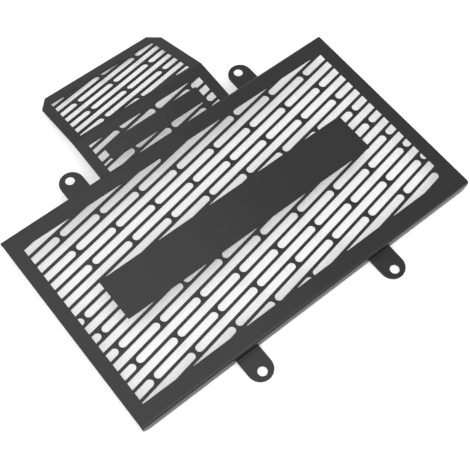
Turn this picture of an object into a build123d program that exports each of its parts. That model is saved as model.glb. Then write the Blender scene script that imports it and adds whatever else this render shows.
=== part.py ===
"""Motorcycle radiator guard, cut and folded from one steel sheet.

A slotted face stands in front of the radiator on two folded flanges. Two bolt tabs turn out from the
edge of each flange. Between the upper tabs a slotted apron turns out as well and is folded once.

The origin is the middle of the front of the face. +X runs along the face, +Y towards the apron and
+Z out of the front, towards the road. Sizes are in millimetres and degrees.
"""

import os
from math import ceil, cos, hypot, pi, radians, sin, tan

from build123d import *

# Sheet and its folds
sheet = 1.5
bend_inside = 1.0

# Face and its two flanges
face_length = 300.0
face_height = 171.0
flange_depth = 10.0
flange_corner = 6.0

# Window in the face, and the plain band across the middle of it
face_end_border = 10.5
face_long_border = 13.7
band_length = 224.0
band_height = 35.4

# Slots: rows that rise to the right, each half a slot along from the row below
slot_width = 5.9
slot_web = 2.25
slot_bridge = 2.5
slot_pitch = 64.25
row_rise = 10.2

# The round ends of the slots are this many flats each, to keep the facets of so many slots few
slot_end_flats = 8

# First bridge between two slots, measured from the upper left corner of its window
face_bridge_at = (25.8, -8.3)
strip_bridge_at = (27.0, -1.5)
tip_bridge_at = (16.1, -15.6)

# Bolt tabs
tab_width = 19.5
tab_reach = 23.0
hole_diameter = 7.2
hole_reach = 15.9
upper_tab_spacing = 161.0
lower_tab_spacing = 123.0

# Apron: its root rises from the flange to the fold, and its tip falls away from the fold
apron_width = 122.8
root_rise = 4.5
root_length = 39.3
tip_fall = 18.0
tip_length = 64.0
tip_end_width = 116.6
tip_corner_across = 8.1
tip_corner_down = 10.6

# Windows in the apron, and the plain band across the one in the root
apron_border = 8.9
root_window_start = 3.7
root_window_to_fold = 7.7
root_band_length = 89.0
root_band_start = 10.9
root_band_end = 24.8
fold_to_tip_window = 3.7
tip_window_to_end = 9.0

# In the root's upper left corner the web lies lower than the rows beside it
corner_web_drop = 1.7

# A bridge nearer than this to the edge of the face's window, or to its band, is cut away, so that
# the slot runs on there
bridge_to_edge = 2.0
bridge_to_band = 0.5

# A corner of a slot that its window leaves smaller than this is not cut
smallest_opening = 9.0

# Worked out from the sizes above
bend_outside = bend_inside + sheet
row_pitch = slot_width + slot_web
slot_length = slot_pitch - slot_bridge
row_slope = tan(radians(row_rise))
half_slot_upright = slot_width / 2 / cos(radians(row_rise))
half_length = face_length / 2
half_height = face_height / 2
tab_top = sheet - flange_depth
tab_round = tab_width / 2
upper_tabs = [(-upper_tab_spacing / 2, 1), (upper_tab_spacing / 2, 1)]
lower_tabs = [(-lower_tab_spacing / 2, -1), (lower_tab_spacing / 2, -1)]
tab_places = upper_tabs + lower_tabs

# The apron's two planes: x across it, y up its slope, z out of its front
root_plane = Plane(
    origin=(0, half_height, tab_top),
    x_dir=(1, 0, 0),
    z_dir=(0, -sin(radians(root_rise)), cos(radians(root_rise))),
)
fold_at = root_plane.from_local_coords((0, root_length, 0))
tip_plane = Plane(
    origin=fold_at,
    x_dir=(1, 0, 0),
    z_dir=(0, sin(radians(tip_fall)), cos(radians(tip_fall))),
)
tip_end = tip_plane.from_local_coords((0, tip_length, 0))


def points_of_rows(bridge, outline, start):
    """Return a point of each slot that may reach into the outline, start pitches past its bridge."""
    left, right = min(x for x, y in outline), max(x for x, y in outline)
    low, high = min(y for x, y in outline), max(y for x, y in outline)
    reach = max(hypot(x - bridge[0], y - bridge[1]) for x, y in outline)
    rows = ceil(reach / row_pitch) + 1
    columns = ceil(reach / slot_pitch) + 1
    reach_along = slot_length / 2
    reach_up = slot_length / 2 * sin(radians(row_rise)) + slot_width / 2
    pattern = Plane(origin=(*bridge, 0)).rotated((0, 0, row_rise))
    points = []
    for row in range(-rows, rows + 1):
        for column in range(-columns, columns + 1):
            along = (column + start + 0.5 * (row % 2)) * slot_pitch
            point = pattern.from_local_coords((along, row * row_pitch, 0))
            beside = left - reach_along < point.X < right + reach_along
            level = low - reach_up < point.Y < high + reach_up
            if beside and level:
                points.append((point.X, point.Y))
    return points


def slot_corners():
    """Return the corners of a slot that lies along X, about its own centre."""
    turns = [pi * (flat / slot_end_flats - 0.5) for flat in range(slot_end_flats + 1)]
    end_centre = (slot_length - slot_width) / 2
    right = [(end_centre + slot_width / 2 * cos(turn), slot_width / 2 * sin(turn)) for turn in turns]
    left = [(-x, -y) for x, y in right]
    return right + left


def slots_within(outline, bridge, cut_bridges=()):
    """Return the slot openings that lie within an outline, cut straight at its sides."""
    with BuildSketch() as openings:
        with Locations(*points_of_rows(bridge, outline, 0.5)):
            Polygon(*slot_corners(), rotation=row_rise)
        for point in cut_bridges:
            with Locations(point):
                Rectangle(slot_bridge + slot_width, slot_width, rotation=row_rise)
        with BuildLine():
            Polyline(*outline, close=True)
        make_face(mode=Mode.INTERSECT)
    return openings.sketch


def box_outline(left, right, low, high):
    """Return the corners of an upright rectangle."""
    return [(left, low), (right, low), (right, high), (left, high)]


def large_enough(openings):
    """Return the openings that are worth cutting."""
    return Sketch([face for face in openings.faces() if face.area > smallest_opening])


# Openings of the face, on the plane of its front
window_right = half_length - face_end_border
window_top = half_height - face_long_border
face_window = box_outline(-window_right, window_right, -window_top, window_top)
face_bridge = (face_bridge_at[0] - window_right, face_bridge_at[1] + window_top)


def at_rim(x, y):
    """Return whether a bridge lies at the rim of the face's window or of its band."""
    at_side = abs(x) > window_right - bridge_to_edge
    at_long_edge = abs(y) > window_top - bridge_to_edge
    at_band = abs(x) < band_length / 2 and abs(y) < band_height / 2 + bridge_to_band
    return at_side or at_long_edge or at_band


rim_bridges = [point for point in points_of_rows(face_bridge, face_window, 0) if at_rim(*point)]
with BuildSketch() as face_openings:
    add(slots_within(face_window, face_bridge, rim_bridges))
    Rectangle(band_length, band_height, mode=Mode.SUBTRACT)

# Openings of the apron's root: a strip above its band, one below, and a column at each end. Both
# strips start their slots alike, and the columns carry on the rows of the upper one. The foot of the
# right column reaches in under the band, up to the third bridge of the lower strip.
root_right = apron_width / 2 - apron_border
root_top = root_length - root_window_to_fold
band_right = root_band_length / 2
upper_bridge = (strip_bridge_at[0] - root_right, strip_bridge_at[1] + root_top)
lower_bridge = (strip_bridge_at[0] - root_right, strip_bridge_at[1] + root_band_start)
bridge_step = slot_pitch / 2 * cos(radians(row_rise)) + row_pitch * sin(radians(row_rise))
lower_strip_right = lower_bridge[0] + 2 * bridge_step


def row_foot(x):
    """Return how far up the root the lower side of the first upper slot lies at x."""
    return upper_bridge[1] + (x - upper_bridge[0]) * row_slope - half_slot_upright


corner_outline = [
    (-root_right, row_foot(-root_right)),
    (upper_bridge[0], row_foot(upper_bridge[0])),
    (upper_bridge[0], root_top),
    (-root_right, root_top),
]
corner_bridge = (upper_bridge[0], upper_bridge[1] - corner_web_drop)
upper_strip = box_outline(upper_bridge[0], root_right, root_band_end, root_top)
left_column = box_outline(-root_right, -band_right, root_band_start, root_band_end)
right_column = [
    (lower_strip_right + slot_bridge / 2, root_window_start),
    (root_right, root_window_start),
    (root_right, root_band_end),
    (band_right, root_band_end),
    (band_right, root_band_start),
]
lower_strip = box_outline(-root_right, lower_strip_right, root_window_start, root_band_start)
with BuildSketch() as root_openings:
    add(slots_within(corner_outline, corner_bridge))
    add(slots_within(upper_strip, upper_bridge))
    add(slots_within(left_column, upper_bridge))
    add(slots_within(right_column, upper_bridge))
    add(slots_within(lower_strip, lower_bridge))

# Openings of the apron's tip, whose window narrows with its sides
tip_window_low = fold_to_tip_window
tip_window_high = tip_length - tip_window_to_end
tip_taper = (apron_width - tip_end_width) / 2 / tip_length
tip_low_right = root_right - tip_taper * tip_window_low
tip_high_right = root_right - tip_taper * tip_window_high
tip_window = [
    (-tip_low_right, tip_window_low),
    (tip_low_right, tip_window_low),
    (tip_high_right, tip_window_high),
    (-tip_high_right, tip_window_high),
]
tip_bridge = (tip_bridge_at[0] - tip_high_right, tip_bridge_at[1] + tip_window_high)
tip_openings = slots_within(tip_window, tip_bridge)


with BuildPart() as radiator_guard:
    # Face with a flange folded back along each long side
    with BuildSketch(Plane.YZ.offset(-half_length)):
        with BuildLine():
            FilletPolyline(
                (-half_height, -flange_depth),
                (-half_height, 0),
                (half_height, 0),
                (half_height, -flange_depth),
                radius=bend_outside,
            )
            offset(amount=sheet, side=Side.RIGHT)
        make_face()
    extrude(amount=face_length)
    flange_ends = radiator_guard.edges().filter_by(Axis.Y).group_by(Axis.Z)[0]
    fillet(flange_ends, radius=flange_corner)

    # Where a tab or the apron turns out, the square foot of the flange gives way to that fold
    with BuildSketch(Plane.XY.offset(-flange_depth)):
        for x, side in tab_places:
            with Locations((x, side * (half_height - sheet / 2))):
                Rectangle(tab_width, 2 * sheet)
        with Locations((0, half_height - sheet / 2)):
            Rectangle(apron_width, 2 * sheet)
    extrude(amount=bend_outside, mode=Mode.SUBTRACT)

    # Bolt tabs, turned out from the edge of each flange and rounded at the end
    round_centre = half_height + tab_reach - tab_round
    for x, side in tab_places:
        with BuildSketch(Plane.YZ.offset(x - tab_round)):
            with BuildLine():
                FilletPolyline(
                    (side * half_height, -bend_outside),
                    (side * half_height, tab_top),
                    (side * round_centre, tab_top),
                    radius=bend_inside,
                )
                offset(amount=sheet, side=Side.RIGHT if side > 0 else Side.LEFT)
            make_face()
        extrude(amount=tab_width)
        with BuildSketch(Plane.XY.offset(tab_top)):
            with Locations((x, side * round_centre)):
                Circle(tab_round)
        extrude(amount=-sheet)
        with Locations((x, side * (half_height + hole_reach), tab_top)):
            Hole(hole_diameter / 2, depth=sheet)

    # Apron, turned out from the upper flange and folded once
    with BuildSketch(Plane.YZ.offset(-apron_width / 2)):
        with BuildLine():
            FilletPolyline(
                (half_height, -bend_outside),
                (half_height, tab_top),
                (fold_at.Y, fold_at.Z),
                (tip_end.Y, tip_end.Z),
                radius=(bend_inside, bend_outside),
            )
            offset(amount=sheet, side=Side.RIGHT)
        make_face()
    extrude(amount=apron_width)

    # Its tip narrows a little, and both its corners are cut off
    with BuildSketch(tip_plane):
        Rectangle(apron_width + sheet, tip_length + sheet, align=(Align.CENTER, Align.MIN))
        with BuildLine():
            Polyline(
                (-apron_width / 2, 0),
                (apron_width / 2, 0),
                (tip_end_width / 2 + tip_taper * tip_corner_down, tip_length - tip_corner_down),
                (tip_end_width / 2 - tip_corner_across, tip_length),
                (tip_corner_across - tip_end_width / 2, tip_length),
                (-tip_end_width / 2 - tip_taper * tip_corner_down, tip_length - tip_corner_down),
                close=True,
            )
        make_face(mode=Mode.SUBTRACT)
    extrude(amount=2 * sheet, both=True, mode=Mode.SUBTRACT)

    # Slots through the face and through both parts of the apron
    with BuildSketch(Plane.XY):
        add(large_enough(face_openings.sketch))
    extrude(amount=-sheet, mode=Mode.SUBTRACT)
    with BuildSketch(root_plane):
        add(large_enough(root_openings.sketch))
    extrude(amount=-sheet, mode=Mode.SUBTRACT)
    with BuildSketch(tip_plane):
        add(large_enough(tip_openings))
    extrude(amount=-sheet, mode=Mode.SUBTRACT)

radiator_guard.part.label = "radiator_guard"
os.makedirs("parts", exist_ok=True)
export_step(radiator_guard.part, "parts/radiator_guard.step")
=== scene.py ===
"""Motorcycle radiator guard in black powder coat, as it lies on a white studio floor.

Sizes are in millimetres. X runs along the guard, Y up its face and Z out of its front, and the middle of
the face is at the origin.
"""

import logging
import math
from dataclasses import dataclass
from enum import Enum, IntEnum

import bpy
from mathutils import Matrix, Vector
from mathutils.geometry import delaunay_2d_cdt


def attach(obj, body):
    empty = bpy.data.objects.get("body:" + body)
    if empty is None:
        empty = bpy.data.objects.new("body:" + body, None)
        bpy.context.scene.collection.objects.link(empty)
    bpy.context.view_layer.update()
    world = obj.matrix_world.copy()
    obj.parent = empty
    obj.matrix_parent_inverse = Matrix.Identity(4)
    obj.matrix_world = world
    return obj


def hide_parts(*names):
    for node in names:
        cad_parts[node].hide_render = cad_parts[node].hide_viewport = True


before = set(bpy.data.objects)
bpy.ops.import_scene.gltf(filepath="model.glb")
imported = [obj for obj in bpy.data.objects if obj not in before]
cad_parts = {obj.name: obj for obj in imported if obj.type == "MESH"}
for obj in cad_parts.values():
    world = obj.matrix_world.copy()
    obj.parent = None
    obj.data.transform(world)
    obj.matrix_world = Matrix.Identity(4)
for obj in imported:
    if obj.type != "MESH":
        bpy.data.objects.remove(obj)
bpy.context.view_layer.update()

log = logging.getLogger("radiator_guard")

Point = tuple[float, float]
Loop = list[Point]

# A corner of an outline, as its x, its y and its radius.
Corner = tuple[float, float, float]

MM = 0.001
WHITE = (1.0, 1.0, 1.0, 1.0)

# Points of an outline that are closer than this count as one.
SAME_POINT = 0.001

# The share of a side that the arc at each of its ends may take up, so that two arcs never meet.
ARC_SHARE = 0.499


def linear_rgb(hex_colour: str) -> tuple[float, float, float, float]:
    """Turns an sRGB hex colour into linear RGBA.

    Args:
        hex_colour: The colour as six hex digits, such as "1c1c1e".

    Returns:
        The linear red, green, blue and an alpha of 1.
    """
    channels = [int(hex_colour[i:i + 2], 16) / 255 for i in (0, 2, 4)]
    red, green, blue = (c / 12.92 if c <= 0.04045 else ((c + 0.055) / 1.055) ** 2.4 for c in channels)
    return red, green, blue, 1.0


def add_node(
    tree: bpy.types.NodeTree,
    kind: str,
    links: dict | None = None,
    **settings: str,
) -> bpy.types.Node:
    """Adds a node to a tree with its settings, values and links.

    Args:
        tree: The node tree that gets the node.
        kind: The node's type name, such as "ShaderNodeBump".
        links: What goes into each input: another node's output socket, or a plain value.
        settings: Properties of the node itself, such as operation="MULTIPLY".

    Returns:
        The new node.
    """
    node = tree.nodes.new(kind)
    for name, value in settings.items():
        setattr(node, name, value)
    for name, source in (links or {}).items():
        if isinstance(source, bpy.types.NodeSocket):
            tree.links.new(source, node.inputs[name])
        else:
            node.inputs[name].default_value = source
    return node


def blank_material(name: str) -> bpy.types.Material:
    """Makes a material whose node tree is still empty.

    Args:
        name: The name of the material.

    Returns:
        The new material.
    """
    material = bpy.data.materials.new(name)
    material.use_nodes = True
    material.node_tree.nodes.clear()
    return material


def put_in_scene(name: str, data: bpy.types.ID) -> bpy.types.Object:
    """Makes an object and puts it in the scene.

    Args:
        name: The name of the object.
        data: Its mesh, light or camera.

    Returns:
        The new object.
    """
    piece = bpy.data.objects.new(name, data)
    bpy.context.collection.objects.link(piece)
    return piece


@dataclass(frozen=True)
class BlackPowderCoat:
    """Satin black polyester powder coat, baked on sheet steel.

    The powder melts into one thick even skin. It has a soft sheen, a faint orange peel that ripples the
    sheen, and no brush marks, flakes or clear layer.

    Attributes:
        name: The name of the material.
        colour: The colour of the skin, which is black but for a trace of blue.
        roughness: How soft the sheen is.
        roughness_spread: How much softer or sharper it gets from place to place.
        ior: The refractive index of cured polyester.
        peel_size: The width of a swell of the orange peel, as it is on the real coat.
        peel_height: The height of a swell.
        peel_detail: How many times the swells are broken up by finer ones.
        peel_fineness: How strong the finer ones are.
        patch_size: The width of a place where the sheen is softer or sharper.
        patch_detail: How many times such places are broken up by smaller ones.
    """

    name: str = "black_powder_coat_on_steel"
    colour: str = "111112"
    roughness: float = 0.28
    roughness_spread: float = 0.05
    ior: float = 1.55
    peel_size: float = 1.6
    peel_height: float = 0.004
    peel_detail: float = 2.0
    peel_fineness: float = 0.4
    patch_size: float = 30.0
    patch_detail: float = 3.0

    def material(self) -> bpy.types.Material:
        """Builds the material.

        Returns:
            The finished material.
        """
        material = blank_material(self.name)
        tree = material.node_tree
        place = add_node(tree, "ShaderNodeTexCoord").outputs["Object"]
        peel = add_node(
            tree,
            "ShaderNodeTexNoise",
            {
                "Vector": place,
                "Scale": 1 / (self.peel_size * MM),
                "Detail": self.peel_detail,
                "Roughness": self.peel_fineness,
            },
        )
        bump = add_node(
            tree,
            "ShaderNodeBump",
            {"Height": peel.outputs["Fac"], "Strength": 1.0, "Distance": self.peel_height * MM},
        )
        patches = add_node(
            tree,
            "ShaderNodeTexNoise",
            {"Vector": place, "Scale": 1 / (self.patch_size * MM), "Detail": self.patch_detail},
        )
        roughness = add_node(
            tree,
            "ShaderNodeMapRange",
            {
                "Value": patches.outputs["Fac"],
                "To Min": self.roughness - self.roughness_spread,
                "To Max": self.roughness + self.roughness_spread,
            },
        )
        coat = add_node(
            tree,
            "ShaderNodeBsdfPrincipled",
            {
                "Base Color": linear_rgb(self.colour),
                "Roughness": roughness.outputs["Result"],
                "IOR": self.ior,
                "Normal": bump.outputs["Normal"],
            },
        )
        add_node(tree, "ShaderNodeOutputMaterial", {"Surface": coat.outputs["BSDF"]})
        return material


class Side(Enum):
    """A long side of the guard, by the sign of its Y."""

    UPPER = 1
    LOWER = -1


class Bend(IntEnum):
    """A bend of the sheet, by its number from the middle of the face outwards."""

    FLANGE = 1
    TURN_OUT = 2
    CREST = 3


def arc_point(start: Point, heading: float, turn: float, radius: float) -> Point:
    """Finds the point that an arc reaches.

    Args:
        start: Where the arc starts.
        heading: The direction in which it starts, in radians.
        turn: How far it turns, in radians, to the left where positive.
        radius: Its radius.

    Returns:
        The point at the end of the turn.
    """
    signed = math.copysign(radius, turn)
    x = start[0] + signed * (math.sin(heading + turn) - math.sin(heading))
    y = start[1] - signed * (math.cos(heading + turn) - math.cos(heading))
    return x, y


def turn_between(before: Point, corner: Point, after: Point) -> float:
    """Measures how far an outline turns at a corner.

    Args:
        before: The point before the corner.
        corner: The corner.
        after: The point after it.

    Returns:
        The turn in radians, to the left where positive.
    """
    into = Vector(corner) - Vector(before)
    out = Vector(after) - Vector(corner)
    return math.atan2(into.cross(out), into.dot(out))


def rounded(corners: list[Corner], step: float = 15.0) -> Loop:
    """Rounds the corners of an outline.

    Args:
        corners: The x, y and radius of each corner in order. A radius of 0 leaves the corner as it is.
        step: The most degrees that one edge of a round corner turns.

    Returns:
        The points of the rounded outline.
    """
    loop: Loop = []
    for index, (x, y, radius) in enumerate(corners):
        before = corners[index - 1][:2]
        after = corners[(index + 1) % len(corners)][:2]
        turn = turn_between(before, (x, y), after)
        slack = ARC_SHARE * min(math.dist(before, (x, y)), math.dist((x, y), after))
        lead = min(radius * math.tan(abs(turn) / 2), slack)
        if lead < SAME_POINT:
            loop.append((x, y))
            continue
        heading = math.atan2(y - before[1], x - before[0])
        start = (x - lead * math.cos(heading), y - lead * math.sin(heading))
        edges = math.ceil(abs(math.degrees(turn)) / step)
        for edge in range(edges + 1):
            loop.append(arc_point(start, heading, turn * edge / edges, lead / math.tan(abs(turn) / 2)))
    return [point for index, point in enumerate(loop) if math.dist(point, loop[index - 1]) > SAME_POINT]


def circle(centre: Point, radius: float, edges: int = 40) -> Loop:
    """Lists the points of a round hole clockwise, so that the sheet is on their left."""
    turns = [-math.tau * edge / edges for edge in range(edges)]
    return [(centre[0] + radius * math.cos(turn), centre[1] + radius * math.sin(turn)) for turn in turns]


def box_outline(left: float, right: float, low: float, high: float) -> Loop:
    """Lists the corners of an upright rectangle."""
    return [(left, low), (right, low), (right, high), (left, high)]


def rims_of(triangles: list[list[int]]) -> list[list[int]]:
    """Follows the rims of a patch of triangles.

    Args:
        triangles: The point numbers of each triangle, anticlockwise.

    Returns:
        The point numbers along each rim, with the patch on their left.
    """
    edges = {(face[i - 1], face[i]) for face in triangles for i in range(3)}
    onward = {start: end for start, end in edges if (end, start) not in edges}
    rims = []
    while onward:
        rim = [next(iter(onward))]
        while rim[-1] in onward:
            rim.append(onward.pop(rim[-1]))
        rims.append(rim[1:])
    return rims


@dataclass(frozen=True)
class SlottedWindow:
    """A window of the sheet that the slots fill.

    Attributes:
        outline: The sides at which the slots are cut straight.
        bridge: A bridge between two slots, from which the rows are set out.
        plain: A band within the window that stays plain.
        run_through: Where a bridge is left out, so that two slots run on into each other.
        tolerance: How far from such a place the middle of its bridge may be.
    """

    outline: Loop
    bridge: Point
    plain: Loop | None = None
    run_through: tuple[Point, ...] = ()
    tolerance: float = 1.0

    def leaves_out(self, bridge: Point) -> bool:
        """Tells whether a bridge is left out."""
        return any(math.dist(bridge, place) < self.tolerance for place in self.run_through)


@dataclass(frozen=True)
class SlotLattice:
    """Round-ended slots in rows that rise to the right, each row half a slot along from the row below.

    Attributes:
        coat: The finish of what it sets out.
        width: The width of a slot.
        web: The bar of sheet between two rows.
        bridge: The bar of sheet between two slots of a row.
        pitch: From one slot of a row to the next.
        rise: The slope of the rows, in degrees.
        end_points: How many edges a quarter of a round end has.
        smallest: An opening that a window leaves smaller than this, in square millimetres, is not cut.
        sharp_turn: A corner of an opening is sharp where it turns by more than this, in degrees.
        corner: The radius that the cutting beam leaves in a sharp corner of an opening.
        point: The radius of a corner of sheet that stands out into an opening.
        corner_step: The most degrees that one edge of such a corner turns.
    """

    coat: bpy.types.Material
    width: float = 5.9
    web: float = 2.25
    bridge: float = 2.5
    pitch: float = 64.25
    rise: float = 10.2
    end_points: int = 7
    smallest: float = 9.0
    sharp_turn: float = 25.0
    corner: float = 0.22
    point: float = 0.45
    corner_step: float = 30.0

    @property
    def row_pitch(self) -> float:
        """From one row to the next, square to the rows."""
        return self.width + self.web

    def tree(self) -> bpy.types.GeometryNodeTree:
        """Builds the node tree that sets out a lattice of flat slots.

        Returns:
            The tree, whose inputs are the sizes of the lattice and its finish.
        """
        tree = bpy.data.node_groups.new("slot_lattice", "GeometryNodeTree")
        inputs = {
            "Columns": "NodeSocketInt",
            "Rows": "NodeSocketInt",
            "Start": "NodeSocketFloat",
            "Pitch": "NodeSocketFloat",
            "Row Pitch": "NodeSocketFloat",
            "Rise": "NodeSocketFloat",
            "Bridge": "NodeSocketVector",
            "Length": "NodeSocketFloat",
            "Width": "NodeSocketFloat",
            "End Radius": "NodeSocketFloat",
            "End Points": "NodeSocketInt",
            "Material": "NodeSocketMaterial",
        }
        tree.interface.new_socket("Geometry", in_out="INPUT", socket_type="NodeSocketGeometry")
        for name, kind in inputs.items():
            tree.interface.new_socket(name, in_out="INPUT", socket_type=kind)
        tree.interface.new_socket("Geometry", in_out="OUTPUT", socket_type="NodeSocketGeometry")
        given = add_node(tree, "NodeGroupInput").outputs
        math_node = "ShaderNodeMath"
        grid_width = add_node(tree, math_node, {0: given["Columns"], 1: 1.0}, operation="SUBTRACT")
        grid_height = add_node(tree, math_node, {0: given["Rows"], 1: 1.0}, operation="SUBTRACT")
        grid = add_node(
            tree,
            "GeometryNodeMeshGrid",
            {
                "Size X": grid_width.outputs[0],
                "Size Y": grid_height.outputs[0],
                "Vertices X": given["Columns"],
                "Vertices Y": given["Rows"],
            },
        )
        point = add_node(tree, "GeometryNodeInputPosition")
        number = add_node(tree, "ShaderNodeSeparateXYZ", {0: point.outputs[0]})
        row = add_node(tree, math_node, {0: number.outputs["Y"]}, operation="ROUND")
        column = add_node(tree, math_node, {0: number.outputs["X"]}, operation="ROUND")
        odd = add_node(tree, math_node, {0: row.outputs[0], 1: 2.0}, operation="FLOORED_MODULO")
        stagger = add_node(tree, math_node, {0: odd.outputs[0], 1: 0.5}, operation="MULTIPLY")
        even_along = add_node(tree, math_node, {0: column.outputs[0], 1: given["Start"]}, operation="ADD")
        slots_along = add_node(
            tree,
            math_node,
            {0: even_along.outputs[0], 1: stagger.outputs[0]},
            operation="ADD",
        )
        along = add_node(
            tree,
            math_node,
            {0: slots_along.outputs[0], 1: given["Pitch"]},
            operation="MULTIPLY",
        )
        up = add_node(tree, math_node, {0: row.outputs[0], 1: given["Row Pitch"]}, operation="MULTIPLY")
        level = add_node(tree, "ShaderNodeCombineXYZ", {"X": along.outputs[0], "Y": up.outputs[0]})
        raised = add_node(
            tree,
            "ShaderNodeVectorRotate",
            {"Vector": level.outputs[0], "Angle": given["Rise"]},
            rotation_type="Z_AXIS",
        )
        place = add_node(
            tree,
            "ShaderNodeVectorMath",
            {0: raised.outputs[0], 1: given["Bridge"]},
            operation="ADD",
        )
        centres = add_node(
            tree,
            "GeometryNodeSetPosition",
            {"Geometry": grid.outputs["Mesh"], "Position": place.outputs[0]},
        )
        bar = add_node(
            tree,
            "GeometryNodeCurvePrimitiveQuadrilateral",
            {"Width": given["Length"], "Height": given["Width"]},
        )
        round_ended = add_node(
            tree,
            "GeometryNodeFilletCurve",
            {
                "Curve": bar.outputs["Curve"],
                "Radius": given["End Radius"],
                "Limit Radius": True,
                "Count": given["End Points"],
            },
            mode="POLY",
        )
        slot = add_node(tree, "GeometryNodeFillCurve", {"Curve": round_ended.outputs["Curve"]}, mode="NGONS")
        turn = add_node(tree, "ShaderNodeCombineXYZ", {"Z": given["Rise"]})
        slots = add_node(
            tree,
            "GeometryNodeInstanceOnPoints",
            {"Points": centres.outputs[0], "Instance": slot.outputs["Mesh"], "Rotation": turn.outputs[0]},
        )
        realized = add_node(tree, "GeometryNodeRealizeInstances", {"Geometry": slots.outputs["Instances"]})
        finished = add_node(
            tree,
            "GeometryNodeSetMaterial",
            {"Geometry": realized.outputs["Geometry"], "Material": given["Material"]},
        )
        add_node(tree, "NodeGroupOutput", {"Geometry": finished.outputs["Geometry"]})
        return tree

    def set_out(
        self,
        origin: Point,
        reach: float,
        start: float,
        length: float,
        round_ends: bool,
    ) -> list[Loop]:
        """Sets out slots, or bars of the same width, about a bridge.

        Args:
            origin: The bridge from which the rows are set out.
            reach: How far from it they go on.
            start: How many pitches past the bridge the first one of its row has its middle.
            length: The length of each.
            round_ends: Whether their ends are round.

        Returns:
            The outline of each.
        """
        tree = self.tree()

        # An odd number of columns and rows puts the bridge in the middle, with one to spare on each side.
        values = {
            "Columns": 2 * math.ceil(reach / self.pitch) + 3,
            "Rows": 2 * math.ceil(reach / self.row_pitch) + 3,
            "Start": start,
            "Pitch": self.pitch,
            "Row Pitch": self.row_pitch,
            "Rise": math.radians(self.rise),
            "Bridge": (*origin, 0.0),
            "Length": length,
            "Width": self.width,
            "End Radius": self.width / 2 if round_ends else 0.0,
            "End Points": self.end_points if round_ends else 1,
            "Material": self.coat,
        }
        carrier = put_in_scene("slots", bpy.data.meshes.new("slots"))
        modifier = carrier.modifiers.new("slots", "NODES")
        modifier.node_group = tree
        for socket in tree.interface.items_tree:
            if socket.name in values:
                modifier[socket.identifier] = values[socket.name]
        evaluated = carrier.evaluated_get(bpy.context.evaluated_depsgraph_get())
        mesh = bpy.data.meshes.new_from_object(evaluated)
        outlines = []
        for face in mesh.polygons:
            corners = [mesh.vertices[index].co for index in face.vertices]
            outlines.append([(corner.x, corner.y) for corner in corners])
        bpy.data.objects.remove(carrier)
        bpy.data.meshes.remove(mesh)
        bpy.data.node_groups.remove(tree)
        return outlines

    def openings(self, window: SlottedWindow) -> list[Loop]:
        """Cuts the slots of a window at its sides.

        Args:
            window: The window that the slots fill.

        Returns:
            The outline of each opening, with the slots that run on into each other made one.
        """
        reach = max(math.dist(window.bridge, corner) for corner in window.outline)

        # The middle of a slot lies half a pitch past a bridge. Where a bridge is left out, a bar as long
        # as the bridge and the round ends beside it is cut too.
        cut = self.set_out(window.bridge, reach, 0.5, self.pitch - self.bridge, True)
        bars = self.set_out(window.bridge, reach, 0.0, self.bridge + self.width, False)
        for bar in bars:
            middle = (sum(x for x, y in bar) / len(bar), sum(y for x, y in bar) / len(bar))
            if window.leaves_out(middle):
                cut.append(bar)
        fields = [window.outline, window.plain] if window.plain else [window.outline]
        cuts = triangulated(fields + [slot for slot in cut if self.near(slot, window.outline)])
        kept = []
        for triangle, within in zip(cuts.faces, cuts.within):
            in_window = 0 in within and not (window.plain and 1 in within)
            if in_window and max(within) >= len(fields):
                kept.append(triangle)
        return [[cuts.points[number] for number in rim] for rim in rims_of(kept)]

    @staticmethod
    def near(slot: Loop, window: Loop) -> bool:
        """Tells whether the box around a slot touches the box around a window.

        Args:
            slot: The outline of the slot.
            window: The outline of the window.

        Returns:
            Whether they touch.
        """
        for axis in (0, 1):
            low, high = min(point[axis] for point in window), max(point[axis] for point in window)
            if max(point[axis] for point in slot) < low or min(point[axis] for point in slot) > high:
                return False
        return True

    def merged(self, windows: list[SlottedWindow]) -> list[Loop]:
        """Makes the openings of several windows, joined where they meet.

        Args:
            windows: The windows, in the same plane.

        Returns:
            The outline of each opening clockwise, so that the sheet is on its left, with its corners
            as the cutting beam leaves them.
        """
        parts = [opening for window in windows for opening in self.openings(window)]
        cuts = triangulated(parts)
        outlines = []
        for rim in rims_of(cuts.faces):
            loop = plain_outline([cuts.points[number] for number in reversed(rim)])
            if len(loop) > 2 and abs(area_of(loop)) > self.smallest:
                outlines.append(self.as_cut(loop))
        return outlines

    def as_cut(self, loop: Loop) -> Loop:
        """Rounds the sharp corners of an opening as the cutting beam does.

        Args:
            loop: The outline of the opening, clockwise.

        Returns:
            The outline with its corners rounded.
        """
        corners = []
        for index, corner in enumerate(loop):
            turn = turn_between(loop[index - 1], corner, loop[(index + 1) % len(loop)])
            sharp = abs(turn) > math.radians(self.sharp_turn)
            radius = self.point if turn > 0 else self.corner
            corners.append((*corner, radius if sharp else 0.0))
        return rounded(corners, self.corner_step)


@dataclass
class Triangles:
    """Outlines divided into triangles.

    Attributes:
        points: The corners of the triangles.
        sources: For each of them, the numbers of the outlines' own points that lie there.
        faces: The triangles, as numbers of points, anticlockwise.
        within: For each triangle, the numbers of the outlines that it lies in.
    """

    points: Loop
    sources: list[list[int]]
    faces: list[list[int]]
    within: list[list[int]]


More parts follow.
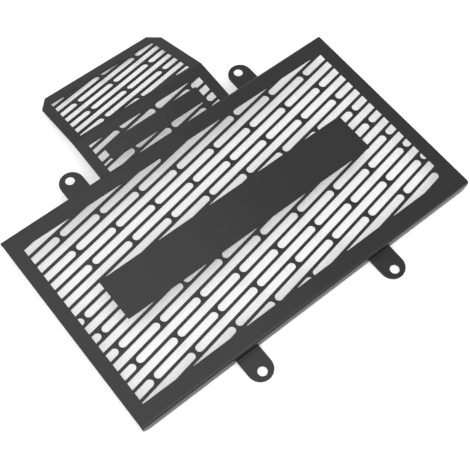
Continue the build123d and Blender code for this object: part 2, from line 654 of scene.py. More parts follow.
def triangulated(
    outlines: list[Loop],
    bars: list[tuple[int, int]] | None = None,
    tolerance: float = 1e-5,
) -> Triangles:
    """Divides outlines, which may overlap, into triangles.

    Args:
        outlines: The outlines.
        bars: Lines that edges of the triangles must follow, each from one point to another.
        tolerance: How close two points are when they count as one.

    Returns:
        The triangles within the outlines.
    """
    points: list[Vector] = []
    faces: list[list[int]] = []
    for outline in outlines:
        face = list(range(len(points), len(points) + len(outline)))
        faces.append(face if area_of(outline) > 0 else face[::-1])
        points.extend(Vector(point) for point in outline)
    only_within = 1
    cuts = delaunay_2d_cdt(points, bars or [], faces, only_within, tolerance)
    corners, _, triangles, sources, _, within = cuts
    return Triangles([(corner.x, corner.y) for corner in corners], sources, triangles, within)


def area_of(loop: Loop) -> float:
    """Measures the area in an outline, positive where it runs anticlockwise."""
    return 0.5 * sum(loop[i - 1][0] * loop[i][1] - loop[i][0] * loop[i - 1][1] for i in range(len(loop)))


def plain_outline(loop: Loop, closest: float = 0.02, straightest: float = 1.0) -> Loop:
    """Drops the points of an outline that its shape doesn't need.

    Args:
        loop: The outline.
        closest: A point no further than this from the one before is dropped.
        straightest: A point where the outline turns by no more than this, in degrees, is dropped.

    Returns:
        The outline without them.
    """
    apart = [point for index, point in enumerate(loop) if math.dist(point, loop[index - 1]) > closest]
    kept = []
    for index, point in enumerate(apart):
        turn = turn_between(apart[index - 1], point, apart[(index + 1) % len(apart)])
        if abs(turn) > math.radians(straightest):
            kept.append(point)
    return kept


def moved_in(loop: Loop, inset: float) -> list[tuple[Point, Point]]:
    """Moves an outline into the sheet on its left.

    Args:
        loop: The outline.
        inset: How far it moves.

    Returns:
        Each point where it comes to lie, and the direction from it out of the sheet.
    """
    moved = []
    for index, point in enumerate(loop):
        into = (Vector(point) - Vector(loop[index - 1])).normalized()
        out = (Vector(loop[(index + 1) % len(loop)]) - Vector(point)).normalized()
        both = Vector((-into.y - out.y, into.x + out.x))
        place = Vector(point) + both * (inset / (1 + into.dot(out)))
        outward = -both.normalized()
        moved.append(((place.x, place.y), (outward.x, outward.y)))
    return moved


def edge_faces(loops: list[Loop], levels: int) -> list[tuple[int, ...]]:
    """Lists the faces of the edges of a sheet.

    Args:
        loops: The outlines of the sheet and its openings.
        levels: How many levels an edge has from front to back, each with a vertex for every point.

    Returns:
        The faces, as numbers of vertices.
    """
    count = sum(len(loop) for loop in loops)
    faces = []
    first = 0
    for loop in loops:
        for index in range(len(loop)):
            a, b = first + index, first + (index + 1) % len(loop)
            for level in range(levels - 1):
                upper, lower = level * count, (level + 1) * count
                faces.append((upper + a, lower + a, lower + b, upper + b))
        first += len(loop)
    return faces


def front_and_back(front: list[Loop], bars: list[tuple[int, int]], back: int) -> list[tuple[int, ...]]:
    """Lists the triangles of the front and the back of a sheet.

    Args:
        front: The outline of the front, and after it those of its openings.
        bars: Lines that edges of the triangles must follow, each from one point to another.
        back: The number of the first vertex of the back.

    Returns:
        The triangles, as numbers of vertices.
    """
    sheet = triangulated(front, bars)
    faces = []
    for triangle, within in zip(sheet.faces, sheet.within):
        if within == [0]:
            corners = [sheet.sources[number][0] for number in triangle]
            faces.append(tuple(corners))
            faces.append(tuple(back + corner for corner in reversed(corners)))
    return faces


@dataclass(frozen=True)
class Stretch:
    """A straight or bent stretch of a folded sheet, seen from its end.

    Attributes:
        start: How far along the front of the sheet it starts.
        place: Where it starts, as y and z.
        heading: The direction in which it starts, in radians from +Y towards +Z.
        length: Its length along the front.
        turn: How far it turns, in radians, towards the front where positive.
    """

    start: float
    place: Point
    heading: float
    length: float
    turn: float = 0.0

    def at(self, distance: float) -> tuple[Point, float]:
        """Finds a place along the stretch.

        Args:
            distance: How far along the front of the sheet it is.

        Returns:
            The place as y and z, and the heading there.
        """
        along = distance - self.start
        if not self.turn:
            y, z = self.place
            return (y + along * math.cos(self.heading), z + along * math.sin(self.heading)), self.heading
        turned = self.turn * along / self.length
        radius = self.length / abs(self.turn)
        return arc_point(self.place, self.heading, turned, radius), self.heading + turned


class Fold:
    """The front of the folded sheet, followed from the middle of the face over one of its long sides.

    Attributes:
        corners: Where it starts, its sharp corners and its end, as y and z.
        stretches: Its straight and bent stretches in order.
    """

    def __init__(self, corners: list[Point], radii: list[float]) -> None:
        """Lays out the stretches.

        Args:
            corners: Where the fold starts, its corners and its end, as y and z.
            radii: The radius of the front at each corner.
        """
        self.corners = corners
        self.stretches: list[Stretch] = []
        place, distance = corners[0], 0.0
        for index, corner in enumerate(corners[1:], 1):
            heading = math.atan2(corner[1] - place[1], corner[0] - place[0])
            last = index == len(corners) - 1
            turn = 0.0 if last else turn_between(corners[index - 1], corner, corners[index + 1])
            lead = 0.0 if last else radii[index - 1] * math.tan(abs(turn) / 2)
            length = math.dist(place, corner) - lead
            self.stretches.append(Stretch(distance, place, heading, length))
            place, _ = self.stretches[-1].at(distance + length)
            distance += length
            if last:
                break
            bend = radii[index - 1] * abs(turn)
            self.stretches.append(Stretch(distance, place, heading, bend, turn))
            place, _ = self.stretches[-1].at(distance + bend)
            distance += bend

    def at(self, distance: float) -> tuple[Point, float]:
        """Finds the place as y and z, and the heading there, at a distance along the fold."""
        stretch = next((s for s in self.stretches if distance <= s.start + s.length), self.stretches[-1])
        return stretch.at(distance)

    def past(self, corner: int, beyond: float) -> float:
        """Measures along the fold to a place beyond a corner.

        Args:
            corner: The number of the corner.
            beyond: How far beyond the sharp corner the place is.

        Returns:
            The distance along the front of the sheet.
        """
        straight = self.stretches[2 * corner]
        return straight.start + beyond - math.dist(self.corners[corner], straight.place)

    def facet_ends(self, bend: int, step: float = 10.0) -> list[float]:
        """Lists the distances at which the facets of a bend meet.

        Args:
            bend: The number of the bend.
            step: The most degrees that one facet turns.

        Returns:
            The distances along the front of the sheet, from one end of the bend to the other.
        """
        stretch = self.stretches[2 * bend - 1]
        edges = math.ceil(abs(math.degrees(stretch.turn)) / step)
        return [stretch.start + stretch.length * edge / edges for edge in range(edges + 1)]

    def on_sheet(self, point: Point, depth: float, tilt: float, outward: Point) -> tuple[Vector, Vector]:
        """Finds where a point of the flat sheet comes to lie when the sheet is folded.

        Args:
            point: The point, as x and how far up the flat sheet it lies.
            depth: How deep under the front of the sheet it is.
            tilt: How far its surface turns away from the front, in radians.
            outward: The direction to which it turns, on the flat sheet.

        Returns:
            Its place and the normal of its surface.
        """
        side = math.copysign(1.0, point[1])
        (y, z), heading = self.at(abs(point[1]))
        front = Vector((0.0, -side * math.sin(heading), math.cos(heading)))
        along = Vector((0.0, math.cos(heading), side * math.sin(heading)))
        edge = Vector((outward[0], 0.0, 0.0)) + along * outward[1]
        place = Vector((point[0], side * y, z)) - front * depth
        return place, front * math.cos(tilt) + edge * math.sin(tilt)


@dataclass(frozen=True)
class FoldLine:
    """A line across the sheet at which two facets of a bend meet.

    Attributes:
        level: How far up the flat sheet it lies.
        left: Its left end.
        right: Its right end.
        overshoot: How far past its ends it still crosses an edge.
    """

    level: float
    left: float
    right: float
    overshoot: float = 0.01

    def turned(self, side: Side) -> "FoldLine":
        """Turns the line half round where it belongs to the lower side."""
        return self if side is Side.UPPER else FoldLine(-self.level, -self.right, -self.left)

    def crossed(self, start: Point, end: Point) -> float | None:
        """Finds where the line crosses an edge of an outline.

        Args:
            start: The start of the edge.
            end: The end of the edge.

        Returns:
            How far along the edge the line crosses it, from 0 to 1, or None where it doesn't.
        """
        if (start[1] - self.level) * (end[1] - self.level) >= 0:
            return None
        share = (self.level - start[1]) / (end[1] - start[1])
        x = start[0] + share * (end[0] - start[0])
        return share if self.left - self.overshoot < x < self.right + self.overshoot else None


def crossed_by(loop: Loop, lines: list[FoldLine]) -> tuple[Loop, list[tuple[int, int]]]:
    """Adds a point to an outline wherever a fold line crosses it.

    Args:
        loop: The outline.
        lines: The fold lines.

    Returns:
        The outline with the points, and for each line the numbers of its two points.
    """
    divided: Loop = []
    ends: dict[int, list[int]] = {}
    for index, point in enumerate(loop):
        before = loop[index - 1]
        shares = [(line.crossed(before, point), number) for number, line in enumerate(lines)]
        for share, number in sorted(hit for hit in shares if hit[0] is not None):
            ends.setdefault(number, []).append(len(divided))
            divided.append((before[0] + share * (point[0] - before[0]), lines[number].level))
        divided.append(point)
    return divided, [(pair[0], pair[1]) for pair in ends.values()]


@dataclass(frozen=True)
class SteelSheet:
    """The sheet that everything is cut and folded from.

    Attributes:
        thickness: Its thickness.
        bend_inside: The inner radius of every bend.
        soft_edge: The radius that the powder coat gives each cut edge.
        edge_facets: How many facets a quarter of a soft edge has.
        relief: The width of the cut that frees a bend from the edge beside it.
        relief_past: How far that cut goes past the bend.
        corner: The radius of a corner of the sheet.
    """

    thickness: float = 1.5
    bend_inside: float = 1.0
    soft_edge: float = 0.25
    edge_facets: int = 3
    relief: float = 0.5
    relief_past: float = 0.4
    corner: float = 0.5

    @property
    def bend_outside(self) -> float:
        """The outer radius of every bend."""
        return self.bend_inside + self.thickness

    def edge_levels(self) -> list[tuple[float, float, float]]:
        """Lists the levels of a soft edge from front to back.

        Returns:
            The inset, the depth and the tilt, in radians, of each.
        """
        quarter = []
        for facet in range(self.edge_facets + 1):
            tilt = math.pi / 2 * facet / self.edge_facets
            inset = self.soft_edge * (1 - math.sin(tilt))
            quarter.append((inset, self.soft_edge * (1 - math.cos(tilt)), tilt))
        back = [(inset, self.thickness - depth, math.pi - tilt) for inset, depth, tilt in reversed(quarter)]
        return quarter + back


SHEET = SteelSheet()


@dataclass(frozen=True)
class FaceAndFlanges:
    """The slotted face and the flange folded back along each of its long sides.

    Attributes:
        length: The length of the face.
        height: The height of the face over both bends.
        flange_depth: How far back the foot of a flange lies behind the front of the face.
        flange_corner: The radius of a flange's two corners.
        end_border: From the window to an end of the face.
        long_border: From the window to a long side of the face.
        band_length: The length of the plain band across the middle of the window.
        band_height: The height of the band.
        bridge_at: A bridge between two slots, seen from the upper left corner of the window.
        run_through: Where a bridge at the rim of the window or of the band is left out.
    """

    length: float = 300.0
    height: float = 171.0
    flange_depth: float = 10.0
    flange_corner: float = 6.0
    end_border: float = 10.5
    long_border: float = 13.7
    band_length: float = 224.0
    band_height: float = 35.4
    bridge_at: Point = (25.8, -8.3)
    run_through: tuple[Point, ...] = (
        (-138.1, 17.7),
        (-141.0, 33.7),
        (15.7, 70.2),
        (-99.3, -16.7),
        (-105.0, 15.4),
        (41.6, -74.2),
    )

    @property
    def edge(self) -> Point:
        """The sharp edge between the face and a flange, as y and z."""
        return self.height / 2, 0.0

    @property
    def seat(self) -> float:
        """The level of the front of what turns out from a flange, as z."""
        return SHEET.thickness - self.flange_depth

    def fold(self) -> Fold:
        """Lays out the fold from the face into a flange."""
        return Fold([(0.0, 0.0), self.edge, (self.edge[0], -self.flange_depth)], [SHEET.bend_outside])

    def foot(self) -> float:
        """How far up the flat sheet the foot of a flange lies."""
        return self.fold().past(Bend.FLANGE, self.flange_depth)

    def lines(self) -> list[FoldLine]:
        """Lists the lines across both bends.

        Returns:
            The lines, the upper bend's first.
        """
        levels = self.fold().facet_ends(Bend.FLANGE)
        half = self.length / 2
        return [FoldLine(side * level, -half, half) for side in (1, -1) for level in levels]

    def windows(self) -> list[SlottedWindow]:
        """Lists the windows of the face.

        Returns:
            Its one window, with the plain band.
        """
        right = self.length / 2 - self.end_border
        top = self.height / 2 - self.long_border
        half_band, half_height = self.band_length / 2, self.band_height / 2
        return [
            SlottedWindow(
                outline=box_outline(-right, right, -top, top),
                bridge=(self.bridge_at[0] - right, self.bridge_at[1] + top),
                plain=box_outline(-half_band, half_band, -half_height, half_height),
                run_through=self.run_through,
            )
        ]


@dataclass(frozen=True)
class BoltTab:
    """A round-ended tab with a bolt hole, turned out from the foot of a flange.

    Attributes:
        face: The face and flanges that it stands on.
        x: The middle of the tab.
        side: The long side that it stands on.
        width: The width of the tab.
        reach: From the flange to the end of the tab.
        hole_diameter: The diameter of the bolt hole.
        hole_reach: From the flange to the middle of the hole.
    """

    face: FaceAndFlanges
    x: float
    side: Side
    width: float = 19.5
    reach: float = 23.0
    hole_diameter: float = 7.2
    hole_reach: float = 15.9

    @property
    def across(self) -> Point:
        """The left and right side of the tab, seen with its long side upwards."""
        middle = self.x * self.side.value
        return middle - self.width / 2, middle + self.width / 2

    def fold(self) -> Fold:
        """Lays out the fold from the face over the flange into the tab.

        Returns:
            The fold.
        """
        y, z = self.face.edge[0], self.face.seat
        corners = [(0.0, 0.0), self.face.edge, (y, z), (y + self.reach, z)]
        return Fold(corners, [SHEET.bend_outside, SHEET.bend_inside])

    def lines(self) -> list[FoldLine]:
        """Lists the lines across the tab's own bend."""
        levels = self.fold().facet_ends(Bend.TURN_OUT)
        return [FoldLine(level, *self.across) for level in levels]

    def corners(self) -> list[Corner]:
        """Lists the corners of the tab.

        Returns:
            The x, the level and the radius of each, from right to left.
        """
        left, right = self.across
        end = self.fold().past(Bend.TURN_OUT, self.reach)
        return [(right, end, self.width / 2), (left, end, self.width / 2)]

    def hole(self) -> Loop:
        """Makes the outline of the bolt hole."""
        middle = (self.x * self.side.value, self.fold().past(Bend.TURN_OUT, self.hole_reach))
        return circle(middle, self.hole_diameter / 2)


@dataclass(frozen=True)
class Apron:
    """The slotted apron between the upper tabs: a root that rises to a fold, and a tip that falls from it.

    Attributes:
        face: The face and flanges that it stands on.
        width: The width of the root.
        root_rise: How steeply the root rises from the flange, in degrees.
        root_length: From the flange up the root to its fold.
        tip_fall: How steeply the tip falls, in degrees.
        tip_length: From the fold down the tip to its end.
        tip_end_width: The width that the tip would have at its end without its cut corners.
        tip_corner_across: How far along the end a cut corner reaches.
        tip_corner_down: How far down the side it reaches.
        tip_corner_radius: The radius at both ends of the cut.
        border: From a window to the side of the apron.
        root_window_start: From the flange to the root's windows.
        root_window_to_fold: From them to the fold.
        root_band_length: The length of the plain band across the root.
        root_band_start: From the flange to the band.
        root_band_end: From the flange to the far side of the band.
        fold_to_tip_window: From the fold to the tip's window.
        tip_window_to_end: From there to the end of the tip.
        strip_bridge_at: A bridge of each strip beside the band, seen from the strip's upper left corner.
        tip_bridge_at: A bridge of the tip, seen from the upper left corner of its window.
        corner_web_drop: How much lower the rows of the upper left corner lie than those beside it.
    """

    face: FaceAndFlanges
    width: float = 122.8
    root_rise: float = 4.5
    root_length: float = 39.3
    tip_fall: float = 18.0
    tip_length: float = 64.0
    tip_end_width: float = 116.6
    tip_corner_across: float = 8.1
    tip_corner_down: float = 10.6
    tip_corner_radius: float = 0.8
    border: float = 8.9
    root_window_start: float = 3.7
    root_window_to_fold: float = 7.7
    root_band_length: float = 89.0
    root_band_start: float = 10.9
    root_band_end: float = 24.8
    fold_to_tip_window: float = 3.7
    tip_window_to_end: float = 9.0
    strip_bridge_at: Point = (27.0, -1.5)
    tip_bridge_at: Point = (16.1, -15.6)
    corner_web_drop: float = 1.7

    @property
    def across(self) -> Point:
        """The left and right side of the apron."""
        return -self.width / 2, self.width / 2

    @property
    def taper(self) -> float:
        """How much each side of the tip comes in for each millimetre."""
        return (self.width - self.tip_end_width) / 2 / self.tip_length

    def fold(self) -> Fold:
        """Lays out the fold from the face over the flange and the root into the tip.

        Returns:
            The fold.
        """
        y, z = self.face.edge[0], self.face.seat
        rise, fall = math.radians(self.root_rise), math.radians(-self.tip_fall)
        crest = (y + self.root_length * math.cos(rise), z + self.root_length * math.sin(rise))
        end = (crest[0] + self.tip_length * math.cos(fall), crest[1] + self.tip_length * math.sin(fall))
        radii = [SHEET.bend_outside, SHEET.bend_inside, SHEET.bend_outside]
        return Fold([(0.0, 0.0), self.face.edge, (y, z), crest, end], radii)

    def lines(self) -> list[FoldLine]:
        """Lists the lines across the apron's two bends.

        Returns:
            The lines, from the flange outwards.
        """
        fold = self.fold()
        levels = fold.facet_ends(Bend.TURN_OUT) + fold.facet_ends(Bend.CREST)
        return [FoldLine(level, *self.across) for level in levels]

    def corners(self) -> list[Corner]:
        """Lists the corners of the apron.

        Returns:
            The x, the level and the radius of each, from right to left.
        """
        fold = self.fold()
        half_end = self.tip_end_width / 2
        cut_start = fold.past(Bend.CREST, self.tip_length - self.tip_corner_down)
        end = fold.past(Bend.CREST, self.tip_length)
        right = [
            (self.width / 2, fold.past(Bend.CREST, 0.0), 0.0),
            (half_end + self.taper * self.tip_corner_down, cut_start, self.tip_corner_radius),
            (half_end - self.tip_corner_across, end, self.tip_corner_radius),
        ]
        return right + [(-x, level, radius) for x, level, radius in reversed(right)]

    def root_windows(self, slots: SlotLattice) -> list[SlottedWindow]:
        """Lists the windows of the root, with their sides as distances from the flange.

        A strip lies above the plain band and one below it, and both start their slots alike. The columns
        at the ends of the band carry on the rows of the upper strip, and the foot of the right column
        reaches in under the band, up to the third bridge of the lower strip. In the upper left corner the
        web lies a little lower than the rows beside it.

        Args:
            slots: The lattice that fills them.

        Returns:
            The windows.
        """
        right = self.width / 2 - self.border
        top = self.root_length - self.root_window_to_fold
        band = self.root_band_length / 2
        upper = (self.strip_bridge_at[0] - right, self.strip_bridge_at[1] + top)
        lower = (upper[0], self.strip_bridge_at[1] + self.root_band_start)
        slope = math.radians(slots.rise)
        step = slots.pitch / 2 * math.cos(slope) + slots.row_pitch * math.sin(slope)
        lower_right = lower[0] + 2 * step

        def row_foot(x: float) -> float:
            """Finds how far up the root the lower side of the first upper slot lies at x."""
            return upper[1] + (x - upper[0]) * math.tan(slope) - slots.width / 2 / math.cos(slope)

        corner = [(-right, row_foot(-right)), (upper[0], row_foot(upper[0])), (upper[0], top), (-right, top)]
        right_column = [
            (lower_right + slots.bridge / 2, self.root_window_start),
            (right, self.root_window_start),
            (right, self.root_band_end),
            (band, self.root_band_end),
            (band, self.root_band_start),
        ]
        return [
            SlottedWindow(corner, (upper[0], upper[1] - self.corner_web_drop)),
            SlottedWindow(box_outline(upper[0], right, self.root_band_end, top), upper),
            SlottedWindow(box_outline(-right, -band, self.root_band_start, self.root_band_end), upper),
            SlottedWindow(right_column, upper),
            SlottedWindow(
                box_outline(-right, lower_right, self.root_window_start, self.root_band_start),
                lower,
            ),
        ]

    def tip_windows(self) -> list[SlottedWindow]:
        """Lists the windows of the tip, with their sides as distances from the fold.

        Returns:
            Its one window, which narrows with its sides.
        """
        low, high = self.fold_to_tip_window, self.tip_length - self.tip_window_to_end
        half = self.width / 2 - self.border
        low_right, high_right = half - self.taper * low, half - self.taper * high
        outline = [(-low_right, low), (low_right, low), (high_right, high), (-high_right, high)]
        return [SlottedWindow(outline, (self.tip_bridge_at[0] - high_right, self.tip_bridge_at[1] + high))]

    def openings(self, slots: SlotLattice) -> list[Loop]:
        """Cuts the openings of the root and the tip.

        Args:
            slots: The lattice that fills the windows.

        Returns:
            The outline of each opening, clockwise on the flat sheet.
        """
        fold = self.fold()
        placed = []
        for bend, windows in ((Bend.TURN_OUT, self.root_windows(slots)), (Bend.CREST, self.tip_windows())):
            start = fold.past(bend, 0.0)
            placed += [[(x, start + up) for x, up in loop] for loop in slots.merged(windows)]
        return placed


@dataclass(frozen=True)
class RadiatorGuard:
    """The whole guard, cut from one sheet, folded and powder coated.

    Attributes:
        coat: The powder coat.
        face: The face and its flanges.
        upper_tab_spacing: From the middle of one upper tab to the middle of the other.
        lower_tab_spacing: The same for the lower tabs.
    """

    coat: bpy.types.Material
    face: FaceAndFlanges = FaceAndFlanges()
    upper_tab_spacing: float = 161.0
    lower_tab_spacing: float = 123.0

    @property
    def apron(self) -> Apron:
        """The apron on the upper flange."""
        return Apron(self.face)

    @property
    def slots(self) -> SlotLattice:
        """The lattice that fills every window."""
        return SlotLattice(self.coat)

    def turned_out(self, side: Side) -> list[BoltTab | Apron]:
        """Lists what turns out from a flange.

        Args:
            side: The long side of the flange.

        Returns:
            The tabs and the apron, from right to left with that side upwards.
        """
        spacing = self.upper_tab_spacing if side is Side.UPPER else self.lower_tab_spacing
        right, left = (BoltTab(self.face, side.value * half * spacing, side) for half in (0.5, -0.5))
        return [right, self.apron, left] if side is Side.UPPER else [right, left]

    def side_corners(self, side: Side) -> list[Corner]:
        """Lists the corners of the flat sheet along a long side.

        Args:
            side: The long side.

        Returns:
            The x, the level and the radius of each, from right to left with that side upwards.
        """
        half, foot = self.face.length / 2, self.face.foot()
        corners = [(half, foot, self.face.flange_corner)]
        for piece in self.turned_out(side):
            left, right = piece.across
            bend = piece.fold().facet_ends(Bend.TURN_OUT)[0] - SHEET.relief_past
            corners += [
                (right + SHEET.relief, foot, SHEET.corner),
                (right + SHEET.relief, bend, self.slots.corner),
                (right, bend, self.slots.corner),
                *piece.corners(),
                (left, bend, self.slots.corner),
                (left - SHEET.relief, bend, self.slots.corner),
                (left - SHEET.relief, foot, SHEET.corner),
            ]
        return corners + [(-half, foot, self.face.flange_corner)]

    def fold_at(self, x: float, level: float) -> Fold:
        """Picks the fold that carries a place of the flat sheet.

        Args:
            x: The x of the place.
            level: How far up the flat sheet it lies.

        Returns:
            The fold of the tab or the apron there, or else that of the flange.
        """
        side = Side.UPPER if level > 0 else Side.LOWER
        for piece in self.turned_out(side):
            left, right = piece.across
            if left - SHEET.relief / 2 < x * side.value < right + SHEET.relief / 2:
                return piece.fold()
        return self.face.fold()

    def flat_outline(self) -> Loop:
        """Makes the outline of the flat sheet anticlockwise, so that the sheet is on its left."""
        lower = [(-x, -level, radius) for x, level, radius in self.side_corners(Side.LOWER)]
        return rounded(self.side_corners(Side.UPPER) + lower)

    def fold_lines(self) -> list[FoldLine]:
        """Lists the lines across every bend.

        Returns:
            The lines, in their places on the flat sheet.
        """
        lines = self.face.lines()
        for side in Side:
            for piece in self.turned_out(side):
                lines += [line.turned(side) for line in piece.lines()]
        return lines

    def openings(self) -> list[Loop]:
        """Makes the outlines of all slots and bolt holes.

        Returns:
            The outlines, clockwise on the flat sheet.
        """
        loops = self.slots.merged(self.face.windows()) + self.apron.openings(self.slots)
        for side in Side:
            for piece in self.turned_out(side):
                if isinstance(piece, BoltTab):
                    loops.append([(x * side.value, up * side.value) for x, up in piece.hole()])
        return loops

    def mesh(self) -> bpy.types.Mesh:
        """Builds the folded sheet with its soft edges.

        Each level of an edge has one vertex for each point of the outlines. The front lies between the
        vertices of the first level, and the back between those of the last.

        Returns:
            The closed mesh, in metres, with its own smooth normals.
        """
        outline, bars = crossed_by(self.flat_outline(), self.fold_lines())
        loops = [outline, *self.openings()]
        folds = [self.fold_at(*point) for loop in loops for point in loop]
        vertices: list[Vector] = []
        normals: list[Vector] = []
        levels = SHEET.edge_levels()
        for inset, depth, tilt in levels:
            moved = [place for loop in loops for place in moved_in(loop, inset)]
            for fold, (point, outward) in zip(folds, moved):
                place, normal = fold.on_sheet(point, depth, tilt, outward)
                vertices.append(place * MM)
                normals.append(normal)
        front = [[point for point, _ in moved_in(loop, levels[0][0])] for loop in loops]
        faces = edge_faces(loops, len(levels)) + front_and_back(front, bars, (len(levels) - 1) * len(folds))
        mesh = bpy.data.meshes.new("radiator_guard_sheet")
        mesh.from_pydata(vertices, [], faces)
        mesh.polygons.foreach_set("use_smooth", [True] * len(faces))
        mesh.normals_split_custom_set_from_vertices(normals)
        return mesh

    def build(self) -> bpy.types.Object:
        """Builds the guard and dresses it.

        Returns:
            The guard's object, which stands for the CAD node.
        """
        mesh = self.mesh()
        mesh.materials.append(self.coat)
        guard = put_in_scene("radiator_guard_sheet", mesh)
        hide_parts("radiator_guard")
        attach(guard, "root")
        return guard


@dataclass(frozen=True)
class StudioFloor:
    """Seamless white paper, matt and without a pattern, that the guard lies on.

    The guard keeps its own frame, so the floor leans instead: it touches the backs of the lower tabs
    and the end of the apron.

    Attributes:
        name: The name of the material.
        colour: The colour of the paper.
        roughness: How matt it is.
        lift: How much lighter the camera sees it than it is lit, so that it ends in white.
        reflected_lift: How much lighter it is in reflections.
        half_size: From the middle of the floor to a side.
        tab_rest: Where it touches the lower tabs, as y and z.
        apron_rest: Where it touches the apron, as y and z.
    """

    name: str = "white_paper_floor"
    colour: str = "fbfbfb"
    roughness: float = 0.9
    lift: float = 0.33
    reflected_lift: float = 0.1
    half_size: float = 4000.0
    tab_rest: Point = (-108.0, -10.0)
    apron_rest: Point = (185.1, -26.65)

    def build(self) -> bpy.types.Object:
        """Lays the floor under the guard.

        Returns:
            The floor's object.
        """
        low_y, low_z = self.tab_rest
        high_y, high_z = self.apron_rest
        fall = (high_z - low_z) / (high_y - low_y)
        corners = []
        for x, y in ((-1, -1), (1, -1), (1, 1), (-1, 1)):
            up = y * self.half_size
            corners.append((x * self.half_size * MM, up * MM, (low_z + fall * (up - low_y)) * MM))
        mesh = bpy.data.meshes.new("floor")
        mesh.from_pydata(corners, [], [(0, 1, 2, 3)])
        mesh.materials.append(self.material())
        floor = put_in_scene("floor", mesh)
        return floor

    def material(self) -> bpy.types.Material:
        """Builds the paper, with its own light only for the camera and for reflections.

        Returns:
            The finished material.
        """
        material = blank_material(self.name)
        tree = material.node_tree
        ray = add_node(tree, "ShaderNodeLightPath").outputs
        math_node = "ShaderNodeMath"
        seen = add_node(tree, math_node, {0: ray["Is Camera Ray"], 1: self.lift}, operation="MULTIPLY")
        reflected = add_node(
            tree,
            math_node,
            {0: ray["Is Glossy Ray"], 1: self.reflected_lift},
            operation="MULTIPLY",
        )
        lift = add_node(tree, math_node, {0: seen.outputs[0], 1: reflected.outputs[0]}, operation="MAXIMUM")
        paper = add_node(
            tree,
            "ShaderNodeBsdfPrincipled",
            {
                "Base Color": linear_rgb(self.colour),
                "Roughness": self.roughness,
                "Specular IOR Level": 0.0,
                "Emission Color": WHITE,
                "Emission Strength": lift.outputs[0],
            },
        )
        add_node(tree, "ShaderNodeOutputMaterial", {"Surface": paper.outputs["BSDF"]})
        return material


@dataclass(frozen=True)
class Softbox:
    """A rectangular soft light.

    Attributes:
        name: The name of its object.
        place: Where its middle hangs.
        aim: The place that it faces.
        width: The size of its front along X.
        depth: The size of its front the other way.
        watts: Its power.
    """

    name: str
    place: tuple[float, float, float]
    aim: tuple[float, float, float]
    width: float
    depth: float
    watts: float

    def build(self) -> bpy.types.Object:
        """Hangs the light.

        Returns:
            The light's object.
        """
        data = bpy.data.lights.new(self.name, "AREA")
        data.shape = "RECTANGLE"
        data.size = self.width * MM
        data.size_y = self.depth * MM
        data.energy = self.watts
        lamp = put_in_scene(self.name, data)
        lamp.location = Vector(self.place) * MM
        lamp.rotation_euler = (Vector(self.aim) - Vector(self.place)).to_track_quat("-Z", "Y").to_euler()
        return lamp


# One lights the guard from over its left end, and the other draws the light line along the lower bend.
SOFTBOXES = (
    Softbox(
        name="softbox_overhead",
        place=(-300.0, 100.0, 900.0),
        aim=(-300.0, 100.0, 0.0),
        width=1200.0,
        depth=1200.0,
        watts=2.5,
    ),
    Softbox(
        name="softbox_edge_strip",
        place=(-330.0, -760.0, 820.0),
        aim=(-330.0, -85.0, 0.0),
        width=1500.0,
        depth=350.0,
        watts=4.2,
    ),
)


@dataclass(frozen=True)
class Room:
    """The even white light of the studio around the guard.

    Attributes:
        strength: How strong it is, where 1 is white.
    """

    strength: float = 0.72

    def build(self) -> None:
        """Sets the world's light, which the camera sees as white."""
        world = bpy.data.worlds.new("studio")
        world.use_nodes = True
        tree = world.node_tree
        tree.nodes.clear()
        path = add_node(tree, "ShaderNodeLightPath")
        strength = add_node(
            tree,
            "ShaderNodeMapRange",
            {"Value": path.outputs["Is Camera Ray"], "To Min": self.strength, "To Max": 1.0},
        )
        light = add_node(
            tree,
            "ShaderNodeBackground",
            {"Color": WHITE, "Strength": strength.outputs["Result"]},
        )
        add_node(tree, "ShaderNodeOutputWorld", {"Surface": light.outputs["Background"]})
        bpy.context.scene.world = world


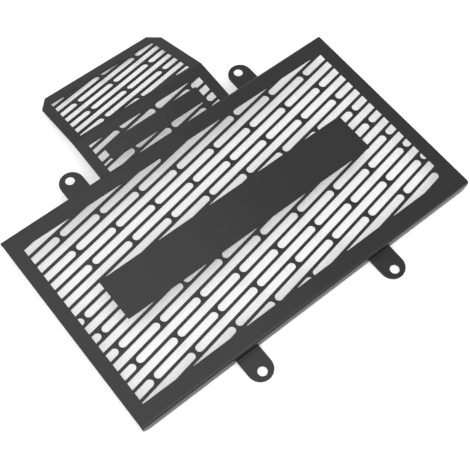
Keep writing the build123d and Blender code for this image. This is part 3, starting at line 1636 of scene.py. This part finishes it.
@dataclass(frozen=True)
class PhotoCamera:
    """The camera at the photograph's place and angle.

    Attributes:
        aim: Where the axis of view meets the plane of the guard's face.
        distance: From the camera to there.
        azimuth: The way that the camera looks, in degrees from +Y towards +X.
        elevation: How steeply it looks down, in degrees.
        roll: How far the picture is turned about the axis of view, in degrees.
        picture_pixels: The width and height of the photograph.
        focal_pixels: The focal length in the same pixels.
        sensor: The width of the sensor.
        nearest: The camera sees nothing closer than this.
        farthest: It sees nothing further away than this.
    """

    aim: Point = (-14.65, -12.71)
    distance: float = 666.4
    azimuth: float = 41.63
    elevation: float = 63.69
    roll: float = 3.22
    picture_pixels: float = 470.0
    focal_pixels: float = 930.0
    sensor: float = 36.0
    nearest: float = 10.0
    farthest: float = 50000.0

    def build(self) -> bpy.types.Object:
        """Sets up the camera.

        Returns:
            The camera's object.
        """
        data = bpy.data.cameras.new("photo_camera")
        data.sensor_width = self.sensor
        data.lens = self.focal_pixels / self.picture_pixels * self.sensor
        data.clip_start = self.nearest * MM
        data.clip_end = self.farthest * MM
        camera = put_in_scene("photo_camera", data)
        turn, lift = math.radians(self.azimuth), math.radians(self.elevation)
        forward = Vector((math.sin(turn) * math.cos(lift), math.cos(turn) * math.cos(lift), -math.sin(lift)))
        place = Vector((*self.aim, 0.0)) - forward * self.distance
        level = forward.to_track_quat("-Z", "Y").to_matrix()
        rolled = level @ Matrix.Rotation(math.radians(self.roll), 3, "Z")
        camera.matrix_world = Matrix.Translation(place * MM) @ rolled.to_4x4()
        bpy.context.scene.camera = camera
        return camera


def main() -> None:
    """Builds the scene and reports each piece."""
    logging.basicConfig(level=logging.INFO, format="%(name)s: %(message)s")
    bpy.context.scene.view_settings.view_transform = "Standard"
    PhotoCamera().build()
    guard = RadiatorGuard(BlackPowderCoat().material()).build()
    log.info("%s: %d faces", guard.name, len(guard.data.polygons))
    floor = StudioFloor().build()
    log.info("%s: %s", floor.name, floor.data.materials[0].name)
    Room().build()
    for softbox in SOFTBOXES:
        softbox.build()
        log.info("%s: %.1f W", softbox.name, softbox.watts)


if __name__ == "__main__":
    main()
